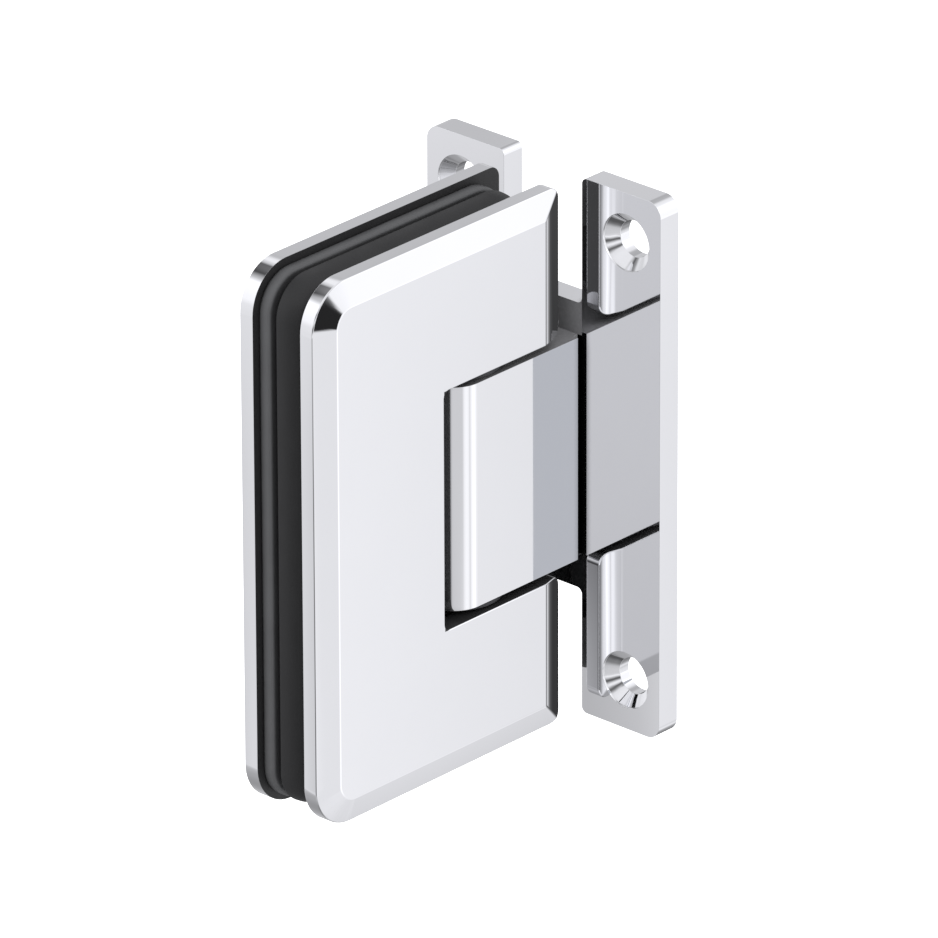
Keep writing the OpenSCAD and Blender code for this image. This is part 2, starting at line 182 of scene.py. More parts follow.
class HingeFinish(bpy.types.PropertyGroup):
    """Colours and gloss of the finishes, some of them painted light and painted shade."""

    chrome: FloatVectorProperty(
        name="Chrome", description="Colour of the chrome plate",
        default=(0.935, 0.938, 0.955), subtype="COLOR", min=0, max=1,
    )
    # Painted shade: near-black that stands for the shade in the gap between the clamp plates and
    # in their notch
    gap_shade_colour: FloatVectorProperty(
        name="Inner faces", description="Colour of the clamp plates' unpolished inner faces",
        default=(0.02, 0.02, 0.021), subtype="COLOR", min=0, max=1,
    )
    # Painted shade: dark grey that stands for the shade on the block's top and bottom and on the
    # crossbar's front above the block
    seat_shade_colour: FloatVectorProperty(
        name="Seat faces", description="Colour of the block's and the crossbar's unpolished faces",
        default=(0.15, 0.15, 0.156), subtype="COLOR", min=0, max=1,
    )
    chrome_roughness: FloatProperty(
        name="Chrome roughness", description="Roughness of the polished chrome",
        default=0.02, min=0, max=1, subtype="FACTOR",
    )
    # Painted light: the rear gasket gets a lighter copy of the rubber, standing for the light that
    # falls on it
    rear_rubber_lit: FloatVectorProperty(
        name="Rear rubber", description="Colour of the rear gasket",
        default=(0.078, 0.079, 0.083), subtype="COLOR", min=0, max=1,
    )
    # Painted shade: the front gasket gets a darker copy of the same rubber, standing for the shade
    # that falls on it
    front_rubber_shaded: FloatVectorProperty(
        name="Front rubber", description="Colour of the front gasket",
        default=(0.012, 0.012, 0.013), subtype="COLOR", min=0, max=1,
    )
    steel: FloatVectorProperty(
        name="Steel", description="Colour of the pin and the screws",
        default=(0.62, 0.62, 0.63), subtype="COLOR", min=0, max=1,
    )
    wire: FloatVectorProperty(
        name="Spring wire", description="Colour of the drawn spring wire",
        default=(0.42, 0.42, 0.44), subtype="COLOR", min=0, max=1,
    )
    brass: FloatVectorProperty(
        name="Brass", description="Colour of the bushes",
        default=(0.78, 0.58, 0.26), subtype="COLOR", min=0, max=1,
    )
    plastic: FloatVectorProperty(
        name="Plastic", description="Colour of the thrust washers",
        default=(0.05, 0.05, 0.053), subtype="COLOR", min=0, max=1,
    )


class HingeStudio(bpy.types.PropertyGroup):
    """Camera and light."""

    azimuth: FloatProperty(
        name="Azimuth", description="Camera's turn about the hinge",
        default=math.radians(-47.59), subtype="ANGLE",
    )
    elevation: FloatProperty(
        name="Elevation", description="Camera's height above the horizon",
        default=math.radians(24.51), subtype="ANGLE",
    )
    roll: FloatProperty(
        name="Roll", description="Camera's turn about its own axis",
        default=math.radians(-0.21), subtype="ANGLE",
    )
    distance: FloatProperty(
        name="Distance", description="From the camera to the point that it aims at",
        default=1.979, min=0.2, unit="LENGTH",
    )
    lens: FloatProperty(
        name="Focal length", description="Focal length in millimetres, on a 36 mm sensor",
        default=498.9, min=1,
    )
    aim: FloatVectorProperty(
        name="Aim", description="Point that the camera looks at",
        default=(-27.5 * MM, -5.83 * MM, 3.53 * MM), subtype="XYZ", unit="LENGTH",
    )
    floor_drop: FloatProperty(
        name="Floor drop", description="Distance of the floor below the hinge",
        default=0.45, min=0.05, unit="LENGTH",
    )
    tent_radius: FloatProperty(
        name="Tent radius", description="Radius of the light tent around the hinge",
        default=0.44, min=0.1, unit="LENGTH",
    )
    tint: FloatVectorProperty(
        name="Tent tint", description="Colour of the light in the tent",
        default=(0.97, 0.972, 1.0), subtype="COLOR", min=0, max=1,
    )
    key_power: FloatProperty(
        name="Key light", description="Power of the soft key light",
        default=3.0, min=0, unit="POWER",
    )


# Shader helpers


def new_material(name):
    """An empty node material and its tree, with the output node."""
    material = bpy.data.materials.new(name)
    material.use_nodes = True
    tree = material.node_tree
    tree.nodes.clear()
    output = tree.nodes.new("ShaderNodeOutputMaterial")
    return material, tree, output


def feed(tree, socket, value):
    """Sets a socket to a value, or links it when the value is another socket."""
    if isinstance(value, bpy.types.NodeSocket):
        tree.links.new(value, socket)
    else:
        socket.default_value = value


def link_math(tree, operation, *inputs):
    """A Math node; inputs are numbers or sockets."""
    node = tree.nodes.new("ShaderNodeMath")
    node.operation = operation
    for socket, value in zip(node.inputs, inputs):
        feed(tree, socket, value)
    return node.outputs[0]


def surface_coordinates(tree, scale=(1, 1, 1)):
    """Object coordinates, stretched by scale along X, Y and Z."""
    coordinates = tree.nodes.new("ShaderNodeTexCoord")
    mapping = tree.nodes.new("ShaderNodeMapping")
    mapping.inputs["Scale"].default_value = scale
    tree.links.new(coordinates.outputs["Object"], mapping.inputs["Vector"])
    return mapping.outputs["Vector"]


def noise(tree, vector, scale, detail):
    node = tree.nodes.new("ShaderNodeTexNoise")
    node.inputs["Scale"].default_value = scale
    node.inputs["Detail"].default_value = detail
    tree.links.new(vector, node.inputs["Vector"])
    return node.outputs["Fac"]


def between(tree, value, low, high, from_low=0.3, from_high=0.7, curve="LINEAR"):
    """value, which lies between from_low and from_high, moved to lie between low and high."""
    node = tree.nodes.new("ShaderNodeMapRange")
    node.interpolation_type = curve
    node.inputs["From Min"].default_value = from_low
    node.inputs["From Max"].default_value = from_high
    node.inputs["To Min"].default_value = low
    node.inputs["To Max"].default_value = high
    tree.links.new(value, node.inputs["Value"])
    return node.outputs["Result"]


def bump(tree, height, distance, strength):
    node = tree.nodes.new("ShaderNodeBump")
    node.inputs["Strength"].default_value = strength
    node.inputs["Distance"].default_value = distance
    tree.links.new(height, node.inputs["Height"])
    return node.outputs["Normal"]


def mixed(tree, share, first, second, kind="RGBA"):
    """first where share is 0, second where it is 1; kind is RGBA for colours, or FLOAT."""
    node = tree.nodes.new("ShaderNodeMix")
    node.data_type = kind
    for name, value in (("Factor", share), ("A", first), ("B", second)):
        feed(tree, node.inputs[name], value)
    return node.outputs["Result"]


def shade(tree, share, dark, light):
    """A colour between dark and light."""
    return mixed(tree, share, (*dark, 1), (*light, 1))


def occlusion(tree, distance):
    """An ambient occlusion node that looks as far as distance."""
    node = tree.nodes.new("ShaderNodeAmbientOcclusion")
    node.samples = 8
    node.inputs["Distance"].default_value = distance
    return node


def principled(tree, output, metallic):
    shader = tree.nodes.new("ShaderNodeBsdfPrincipled")
    shader.inputs["Metallic"].default_value = metallic
    tree.links.new(shader.outputs["BSDF"], output.inputs["Surface"])
    return shader


def dimmed(values, share):
    return tuple(share * value for value in values)


# Finishes


def painted_shade_share(tree, vector, node):
    """1 on the faces of a chrome node that lie inside the hinge and get painted shade, 0
    elsewhere.
    """
    split = tree.nodes.new("ShaderNodeSeparateXYZ")
    tree.links.new(vector, split.inputs[0])
    across = link_math(tree, "ABSOLUTE", split.outputs["Y"])
    height = link_math(tree, "ABSOLUTE", split.outputs["Z"])
    if node == "pivot_block":
        return link_math(tree, "GREATER_THAN", height, BLOCK_TOP - FACE_DEPTH)
    if node == "wall_plate":
        front = link_math(tree, "LESS_THAN", split.outputs["X"], WALL_FACE + FACE_DEPTH)
        between_bars = link_math(tree, "LESS_THAN", across, BAR_OPENING)
        upper = link_math(tree, "GREATER_THAN", split.outputs["Z"], BLOCK_TOP)
        return link_math(tree, "MULTIPLY", link_math(tree, "MULTIPLY", front, between_bars), upper)
    inner = link_math(tree, "LESS_THAN", across, PLATE_INSIDE + FACE_DEPTH)
    in_notch = link_math(
        tree, "MULTIPLY",
        link_math(tree, "GREATER_THAN", split.outputs["X"], NOTCH_END - FACE_DEPTH),
        link_math(tree, "LESS_THAN", height, NOTCH_TOP + FACE_DEPTH),
    )
    return link_math(tree, "MAXIMUM", inner, in_notch)


def chrome_material(name, finish, node):
    """Polished chrome: a clear mirror, faintly hazed and wavy, with painted shade in its gaps and
    on its faces inside the hinge, which turn dark, rough and non-metal.
    """
    shade_roughness = 0.5
    gap_width = 3 * MM
    gap_shade = 0.02
    material, tree, output = new_material(name)
    shader = principled(tree, output, 1.0)
    vector = surface_coordinates(tree)
    haze = noise(tree, vector, scale=160, detail=3)
    speck = noise(tree, vector, scale=1400, detail=3)
    waves = noise(tree, vector, scale=45, detail=1)
    # Painted shade: these faces get a dark, rough, non-metal colour in place of the chrome mirror
    shade_share = painted_shade_share(tree, vector, node)
    polish = between(tree, haze, finish.chrome_roughness, 2 * finish.chrome_roughness)
    roughness = mixed(tree, shade_share, polish, shade_roughness, "FLOAT")
    plating = shade(tree, haze, dimmed(finish.chrome, 0.985), finish.chrome)
    # Painted shade: the mirror colour darkens to near black where ambient occlusion finds a gap
    # narrower than gap_width
    openness = occlusion(tree, gap_width).outputs["AO"]
    mirror = mixed(
        tree, between(tree, openness, 0, 1, from_low=0.35, from_high=0.85),
        (*dimmed(finish.chrome, gap_shade), 1), plating,
    )
    # Painted shade colours: near-black in the clamp plates, dark grey on the block and the wall
    # plate
    inside = finish.gap_shade_colour if node in ("front_plate", "rear_plate") else finish.seat_shade_colour
    shaded = shade(tree, speck, dimmed(inside, 0.8), dimmed(inside, 1.2))
    feed(tree, shader.inputs["Base Color"], mixed(tree, shade_share, mirror, shaded))
    feed(tree, shader.inputs["Metallic"], link_math(tree, "SUBTRACT", 1, shade_share))
    feed(tree, shader.inputs["Roughness"], roughness)
    feed(tree, shader.inputs["Normal"], bump(tree, waves, distance=0.01 * MM, strength=0.4))
    return material


def rubber_material(name, color):
    """Moulded black rubber with a fine grain, a matt bloom and painted shade in its gaps."""
    gap_width = 1.5 * MM
    material, tree, output = new_material(name)
    shader = principled(tree, output, 0.0)
    vector = surface_coordinates(tree)
    bloom = noise(tree, vector, scale=220, detail=4)
    grain = noise(tree, vector, scale=2600, detail=2)
    # Painted shade: ambient occlusion darkens the rubber's colour in gaps narrower than gap_width
    openness = occlusion(tree, gap_width)
    bloomed = shade(tree, bloom, dimmed(color, 0.85), dimmed(color, 1.2))
    feed(tree, openness.inputs["Color"], bloomed)
    feed(tree, shader.inputs["Base Color"], openness.outputs["Color"])
    feed(tree, shader.inputs["Roughness"], between(tree, bloom, 0.42, 0.58))
    feed(tree, shader.inputs["Normal"], bump(tree, grain, distance=0.02 * MM, strength=0.5))
    return material


def turned_material(name, color, stretch, roughness):
    """Bright metal with fine turning marks: stretch is large along the axis it was turned on."""
    material, tree, output = new_material(name)
    shader = principled(tree, output, 1.0)
    marks = noise(tree, surface_coordinates(tree, stretch), scale=90, detail=4)
    feed(tree, shader.inputs["Base Color"], shade(tree, marks, dimmed(color, 0.86), color))
    feed(tree, shader.inputs["Roughness"], between(tree, marks, roughness, 1.5 * roughness))
    feed(tree, shader.inputs["Normal"], bump(tree, marks, distance=0.01 * MM, strength=0.5))
    return material


def plastic_material(name, color):
    """Matt black thrust-washer plastic."""
    material, tree, output = new_material(name)
    shader = principled(tree, output, 0.0)
    grain = noise(tree, surface_coordinates(tree), scale=900, detail=3)
    grained = shade(tree, grain, dimmed(color, 0.85), dimmed(color, 1.15))
    feed(tree, shader.inputs["Base Color"], grained)
    feed(tree, shader.inputs["Roughness"], between(tree, grain, 0.4, 0.55))
    feed(tree, shader.inputs["Normal"], bump(tree, grain, distance=0.01 * MM, strength=0.4))
    return material


def finish_of(node):
    """The finish of a node by its record slot, made when it is first asked for."""
    slot = SLOT_OF[node]
    name = node + "_finish" if slot in ("chrome", "gasket_rubber") else slot
    found = bpy.data.materials.get(name)
    if found:
        return found
    finish = bpy.context.scene.hinge_finish
    # Painted light and shade: lit and shaded copies of one rubber for the two gaskets
    rubber = finish.front_rubber_shaded if node == "front_gasket" else finish.rear_rubber_lit
    along_pin = (1, 1, 30)
    along_screw = (30, 1, 1)
    along_wire = (4, 1, 1)
    makers = {
        "chrome": lambda: chrome_material(name, finish, node),
        "gasket_rubber": lambda: rubber_material(name, rubber),
        "pin_steel": lambda: turned_material(name, finish.steel, along_pin, roughness=0.16),
        "screw_steel": lambda: turned_material(name, finish.steel, along_screw, roughness=0.22),
        "spring_steel": lambda: turned_material(name, finish.wire, along_wire, roughness=0.25),
        "bush_brass": lambda: turned_material(name, finish.brass, along_pin, roughness=0.2),
        "washer_plastic": lambda: plastic_material(name, finish.plastic),
    }
    return makers[slot]()


# Mesh helpers


def added(name, data):
    """A new object in the scene."""
    thing = bpy.data.objects.new(name, data)
    bpy.context.scene.collection.objects.link(thing)
    return thing


def cad_mesh(node):
    """The CAD node's triangles as a new welded mesh with its flat faces whole."""
    source = frame["nodes"][node].data
    weld = 0.002 * MM
    flat_angle = math.radians(0.4)
    work = bmesh.new()
    corners = [work.verts.new(vertex.co) for vertex in source.vertices]
    for polygon in source.polygons:
        work.faces.new([corners[i] for i in polygon.vertices])
    bmesh.ops.remove_doubles(work, verts=work.verts, dist=weld)
    bmesh.ops.dissolve_limit(work, angle_limit=flat_angle, verts=work.verts, edges=work.edges)
    mesh = bpy.data.meshes.new(node)
    work.to_mesh(mesh)
    work.free()
    return mesh


def cad_span(node):
    """Lowest and highest X of a CAD node."""
    places = [vertex.co.x for vertex in frame["nodes"][node].data.vertices]
    return min(places), max(places)


def baked(thing):
    """Turns the object's modifiers into plain mesh."""
    graph = bpy.context.evaluated_depsgraph_get()
    mesh = bpy.data.meshes.new_from_object(thing.evaluated_get(graph))
    thing.modifiers.clear()
    thing.data = mesh
    return thing


def finished(thing, node):
    """Gives a piece its finish and body, and hides the CAD node that it takes the place of."""
    thing.data.materials.clear()
    thing.data.materials.append(finish_of(node))
    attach(thing, BODY_OF[node])
    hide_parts(node)
    return thing


def rounded_piece(node, radius, soft_edge=None, soft_radius=0, mesh=None):
    """A copy of a CAD node, or a given mesh, with sharp edges rounded and flat faces kept flat.

    soft_edge says by its two ends whether an edge is rounded more, by soft_radius.
    """
    sharp_angle = math.radians(12 if soft_edge else 10)
    rim_segments = 10
    flat_weight = 50
    thing = added(node + "_shell", mesh or cad_mesh(node))
    thing.data.shade_smooth()
    if soft_edge:
        weights = thing.data.attributes.new("bevel_weight_edge", "FLOAT", "EDGE")
        for edge, weight in zip(thing.data.edges, weights.data):
            weight.value = float(soft_edge(*(thing.data.vertices[i].co for i in edge.vertices)))
        rim = thing.modifiers.new("soft", "BEVEL")
        rim.width = soft_radius
        rim.segments = rim_segments
        rim.limit_method = "WEIGHT"
        rim.use_clamp_overlap = False
    if radius > 0:
        rounding = thing.modifiers.new("round", "BEVEL")
        rounding.width = radius
        rounding.segments = bpy.context.scene.hinge_edges.segments
        rounding.limit_method = "ANGLE"
        rounding.angle_limit = sharp_angle
        rounding.miter_outer = "MITER_ARC"
        rounding.harden_normals = True
    flats = thing.modifiers.new("flats", "WEIGHTED_NORMAL")
    flats.mode = "FACE_AREA"
    flats.weight = flat_weight
    return finished(baked(thing), node)


def on_front_rim(start, end):
    """Whether an edge runs round the outside of the front gasket's face at its plate."""
    touching = all(place.y < FACE_DEPTH - PLATE_INSIDE for place in (start, end))
    middle = (start + end) / 2
    return touching and (abs(middle.z) > RIM_HEIGHT or middle.x < RIM_END)


def roll_wall_side(mesh, turn):
    """Shades the flat bevel at a clamp plate's wall side as the roll that the photo shows."""
    normals = [Vector(corner.vector) for corner in mesh.corner_normals]
    for face in mesh.polygons:
        at_end = abs(face.center.y) >= BAND_SIDE and face.center.x >= CLAMP_END - BEVEL_WIDE
        if not at_end or abs(face.normal.z) >= TILT or face.normal.x <= TILT:
            continue
        for corner in face.loop_indices:
            place = mesh.vertices[mesh.loops[corner].vertex_index].co
            share = (place.x - CLAMP_END) / BEVEL_WIDE + 1
            angle = turn * min(1, max(0, share))
            side = math.copysign(math.cos(angle), place.y)
            normals[corner] = Vector((math.sin(angle), side, 0))
    mesh.normals_split_custom_set(normals)


# Repeated parts and springs, by geometry nodes


def shape_tree(name, inputs):
    """An empty geometry tree with named inputs, its input sockets by name, and its output."""
    tree = bpy.data.node_groups.new(name, "GeometryNodeTree")
    tree.is_modifier = True
    for label, kind in inputs:
        tree.interface.new_socket(label, in_out="INPUT", socket_type="NodeSocket" + kind)
    tree.interface.new_socket("Geometry", in_out="OUTPUT", socket_type="NodeSocketGeometry")
    given = tree.nodes.new("NodeGroupInput")
    output = tree.nodes.new("NodeGroupOutput")
    return tree, given.outputs, output


def shape_node(tree, kind, **inputs):
    """A geometry node; inputs are values or sockets, by socket name with _ for a space."""
    node = tree.nodes.new(kind)
    for name, value in inputs.items():
        feed(tree, node.inputs[name.replace("_", " ")], value)
    return node


def end_tree(tree, geometry, material, output):
    """Ends a tree in Realize Instances and Set Material."""
    real = shape_node(tree, "GeometryNodeRealizeInstances", Geometry=geometry)
    painted = shape_node(
        tree, "GeometryNodeSetMaterial", Geometry=real.outputs[0], Material=material
    )
    tree.links.new(painted.outputs[0], output.inputs["Geometry"])


def exact_boolean(tree, operation):
    """A Mesh Boolean node with the exact solver."""
    node = tree.nodes.new("GeometryNodeMeshBoolean")
    node.operation = operation
    node.solver = "EXACT"
    return node


def screw_tree():
    """Rows of socket screws: each has its head's face at the row's point and runs along Z."""
    tree, given, output = shape_tree("screw_rows", (
        ("Head Radius", "Float"), ("Shank Radius", "Float"), ("Cone Height", "Float"),
        ("Length", "Float"), ("Socket Radius", "Float"), ("Socket Depth", "Float"),
        ("First", "Vector"), ("Step", "Vector"), ("Group Step", "Vector"), ("Groups", "Int"),
        ("Turn", "Vector"), ("Material", "Material"),
    ))
    sides = 32
    hexagon = 6
    cone = "GeometryNodeMeshCone"
    head = shape_node(
        tree, cone, Vertices=sides, Radius_Bottom=given["Head Radius"],
        Radius_Top=given["Shank Radius"], Depth=given["Cone Height"],
    )
    shank = shape_node(
        tree, cone, Vertices=sides, Radius_Bottom=given["Shank Radius"],
        Radius_Top=given["Shank Radius"], Depth=given["Length"],
    )
    socket = shape_node(
        tree, cone, Vertices=hexagon, Radius_Bottom=given["Socket Radius"],
        Radius_Top=given["Socket Radius"],
        Depth=link_math(tree, "MULTIPLY", given["Socket Depth"], 2),
    )
    down = tree.nodes.new("ShaderNodeCombineXYZ")
    tree.links.new(link_math(tree, "MULTIPLY", given["Socket Depth"], -1), down.inputs["Z"])
    sunk = shape_node(
        tree, "GeometryNodeTransform", Geometry=socket.outputs["Mesh"], Translation=down.outputs[0]
    )
    whole = exact_boolean(tree, "UNION")
    tree.links.new(head.outputs["Mesh"], whole.inputs["Mesh 2"])
    tree.links.new(shank.outputs["Mesh"], whole.inputs["Mesh 2"])
    screw = exact_boolean(tree, "DIFFERENCE")
    tree.links.new(whole.outputs["Mesh"], screw.inputs["Mesh 1"])
    tree.links.new(sunk.outputs["Geometry"], screw.inputs["Mesh 2"])
    row = shape_node(
        tree, "GeometryNodeMeshLine", Count=2, Start_Location=given["First"], Offset=given["Step"]
    )
    row_screws = shape_node(
        tree, "GeometryNodeInstanceOnPoints", Points=row.outputs["Mesh"],
        Instance=screw.outputs["Mesh"], Rotation=given["Turn"],
    )
    groups = shape_node(
        tree, "GeometryNodeMeshLine", Count=given["Groups"], Offset=given["Group Step"]
    )
    all_screws = shape_node(
        tree, "GeometryNodeInstanceOnPoints", Points=groups.outputs["Mesh"],
        Instance=row_screws.outputs["Instances"],
    )
    end_tree(tree, all_screws.outputs["Instances"], given["Material"], output)
    return tree


def spring_tree():
    """Coil spring: round wire along a helix, with capped ends."""
    tree, given, output = shape_tree("coil_spring", (
        ("Coil Radius", "Float"), ("Wire Radius", "Float"), ("Turns", "Float"),
        ("Height", "Float"), ("Left Hand", "Bool"), ("Place", "Vector"), ("Turn", "Vector"),
        ("Material", "Material"),
    ))
    helix = shape_node(
        tree, "GeometryNodeCurveSpiral", Resolution=36, Rotations=given["Turns"],
        Start_Radius=given["Coil Radius"], End_Radius=given["Coil Radius"],
        Height=given["Height"], Reverse=given["Left Hand"],
    )
    section = shape_node(
        tree, "GeometryNodeCurvePrimitiveCircle", Resolution=14, Radius=given["Wire Radius"]
    )
    wire = shape_node(
        tree, "GeometryNodeCurveToMesh", Curve=helix.outputs["Curve"],
        Profile_Curve=section.outputs["Curve"], Fill_Caps=True,
    )
    placed = shape_node(
        tree, "GeometryNodeTransform", Geometry=wire.outputs["Mesh"],
        Translation=given["Place"], Rotation=given["Turn"],
    )
    end_tree(tree, placed.outputs["Geometry"], given["Material"], output)
    return tree


def shaped(name, tree, values):
    """The plain mesh that a tree makes from values, which are by input name."""
    thing = added(name, bpy.data.meshes.new(name))
    modifier = thing.modifiers.new("shape", "NODES")
    modifier.node_group = tree
    sockets = {
        item.name: item.identifier for item in tree.interface.items_tree if item.in_out == "INPUT"
    }
    for label, value in values.items():
        modifier[sockets[label]] = value
    mesh = baked(thing).data
    bpy.data.objects.remove(thing)
    return mesh


# Operators


class HINGE_OT_wall_plate(bpy.types.Operator):
    """Rounded chrome wall plate"""

    bl_idname = "hinge.wall_plate"
    bl_label = "Wall plate"

    def execute(self, context):
        plate = rounded_piece("wall_plate", context.scene.hinge_edges.wall)
        # Its mirror image in the clamp would hide the clean face that the photo shows
        plate.visible_glossy = False
        return {"FINISHED"}


class HINGE_OT_pivot_block(bpy.types.Operator):
    """Rounded chrome pivot block"""

    bl_idname = "hinge.pivot_block"
    bl_label = "Pivot block"

    def execute(self, context):
        rounded_piece("pivot_block", context.scene.hinge_edges.block)
        return {"FINISHED"}


class HINGE_OT_clamp_plates(bpy.types.Operator):
    """Rounded chrome clamp plates"""

    bl_idname = "hinge.clamp_plates"
    bl_label = "Clamp plates"

    def execute(self, context):
        edges = context.scene.hinge_edges
        for node in ("front_plate", "rear_plate"):
            roll_wall_side(rounded_piece(node, edges.plate).data, edges.wall_side)
        return {"FINISHED"}


class HINGE_OT_gaskets(bpy.types.Operator):
    """Moulded rubber gaskets with rounded rims"""

    bl_idname = "hinge.gaskets"
    bl_label = "Gaskets"

    def execute(self, context):
        edges = context.scene.hinge_edges
        rounded_piece("front_gasket", edges.gasket, on_front_rim, edges.rim)
        rounded_piece("rear_gasket", edges.gasket)
        return {"FINISHED"}


class HINGE_OT_turned_parts(bpy.types.Operator):
    """Pin, bushes, washers, plungers and plugs"""

    bl_idname = "hinge.turned_parts"
    bl_label = "Turned parts"

    def execute(self, context):
        pairs = ("bush", "washer", "plunger", "spring_plug")
        nodes = [side + name for name in pairs for side in ("upper_", "lower_")]
        for node in ("pivot_pin", *nodes):
            rounded_piece(node, context.scene.hinge_edges.small)
        return {"FINISHED"}


class HINGE_OT_screws(bpy.types.Operator):
    """Block, clamp and pin screws in their rows"""

    bl_idname = "hinge.screws"
    bl_label = "Screws"

    def execute(self, context):
        sizes = context.scene.hinge_fittings
        tree = screw_tree()
        socket = sizes.socket_width / 2 / math.cos(math.radians(30))
        cone = sizes.head_radius - sizes.screw_radius
        for node, headed, length, first, step, group_step, groups, turn in SCREW_ROWS:
            mesh = shaped(node, tree, {
                "Head Radius": sizes.head_radius if headed else sizes.screw_radius,
                "Shank Radius": sizes.screw_radius,
                "Cone Height": cone,
                "Length": length * MM,
                "Socket Radius": socket,
                "Socket Depth": sizes.socket_depth,
                "First": dimmed(first, MM),
                "Step": dimmed(step, MM),
                "Group Step": dimmed(group_step, MM),
                "Groups": groups,
                "Turn": turn,
                "Material": finish_of(node),
            })
            rounded_piece(node, context.scene.hinge_edges.small, mesh=mesh)
        return {"FINISHED"}


class HINGE_OT_springs(bpy.types.Operator):
    """Coil springs behind the plungers"""

    bl_idname = "hinge.springs"
    bl_label = "Springs"

    def execute(self, context):
        sizes = context.scene.hinge_fittings
        tree = spring_tree()
        for node, height, left_hand in (
            ("upper_spring", sizes.spring_height, False),
            ("lower_spring", -sizes.spring_height, True),
        ):
            low, high = cad_span(node)
            mesh = shaped(node, tree, {
                "Coil Radius": sizes.coil_radius,
                "Wire Radius": sizes.wire_radius,
                "Turns": sizes.turns,
                "Height": high - low - 2 * sizes.wire_radius,
                "Left Hand": left_hand,
                "Place": (low + sizes.wire_radius, 0, height),
                "Turn": (0, math.radians(90), 0),
                "Material": finish_of(node),
            })
            mesh.shade_smooth()
            spring = finished(added(node + "_shell", mesh), node)
            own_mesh(spring)
        return {"FINISHED"}


# Camera and light


def camera_axes(studio):
    """Right, up and look directions of the camera."""
    turn, lift, roll = studio.azimuth, studio.elevation, studio.roll
    look = Vector((
        -math.sin(turn) * math.cos(lift), math.cos(turn) * math.cos(lift), -math.sin(lift)
    ))
    level = Vector((math.cos(turn), math.sin(turn), 0))
    upright = level.cross(look)
    right = math.cos(roll) * level + math.sin(roll) * upright
    up = math.cos(roll) * upright - math.sin(roll) * level
    return right, up, look


def camera_place(studio):
    return Vector(studio.aim) - studio.distance * camera_axes(studio)[2]


def add_camera(studio):
    right, up, look = camera_axes(studio)
    data = bpy.data.cameras.new("camera")
    data.sensor_width = 36
    data.lens = studio.lens
    data.clip_start = 0.05
    data.clip_end = 50
    camera = added("camera", data)
    turn = Matrix((right, up, -look)).transposed()
    camera.matrix_world = Matrix.Translation(camera_place(studio)) @ turn.to_4x4()
    bpy.context.scene.camera = camera


def seen_directly(tree):
    """1 for rays from the camera, and for those that metal or glass sends on."""
    path = tree.nodes.new("ShaderNodeLightPath").outputs
    direct = link_math(tree, "MAXIMUM", path["Is Camera Ray"], path["Is Glossy Ray"])
    return link_math(tree, "MAXIMUM", direct, path["Is Transmission Ray"])


def stage_quad(name, corners, material):
    mesh = bpy.data.meshes.new(name)
    mesh.from_pydata(corners, [], [(0, 1, 2, 3)])
    mesh.materials.append(material)
    thing = added(name, mesh)
    return thing


def mirror_only(thing):
    """Lets only mirrors show the thing."""
    thing.visible_camera = False
    thing.visible_diffuse = False
    thing.visible_shadow = False
    thing.visible_transmission = False


def floor_material():
    """Pale floor that shows white, with the hinge's soft shadow left on it."""
    material, tree, output = new_material("floor")
    matt = tree.nodes.new("ShaderNodeBsdfDiffuse")
    matt.inputs["Color"].default_value = (0.8, 0.8, 0.8, 1)
    lift = tree.nodes.new("ShaderNodeEmission")
    lift.inputs["Color"].default_value = (1, 1, 1, 1)
    tree.links.new(seen_directly(tree), lift.inputs["Strength"])
    both = tree.nodes.new("ShaderNodeAddShader")
    tree.links.new(matt.outputs[0], both.inputs[0])
    tree.links.new(lift.outputs[0], both.inputs[1])
    tree.links.new(both.outputs[0], output.inputs["Surface"])
    return material


def add_floor(studio):
    half = 6.0
    height = CAD_BOX[0].z - studio.floor_drop
    corners = [
        (side * half, end * half, height) for side, end in ((-1, -1), (1, -1), (1, 1), (-1, 1))
    ]
    stage_quad("floor", corners, floor_material())


def add_world():
    """Plain white surroundings."""
    world = bpy.data.worlds.new("studio")
    world.use_nodes = True
    ground = world.node_tree.nodes["Background"]
    ground.inputs["Color"].default_value = (1, 1, 1, 1)
    ground.inputs["Strength"].default_value = 1.0
    bpy.context.scene.world = world


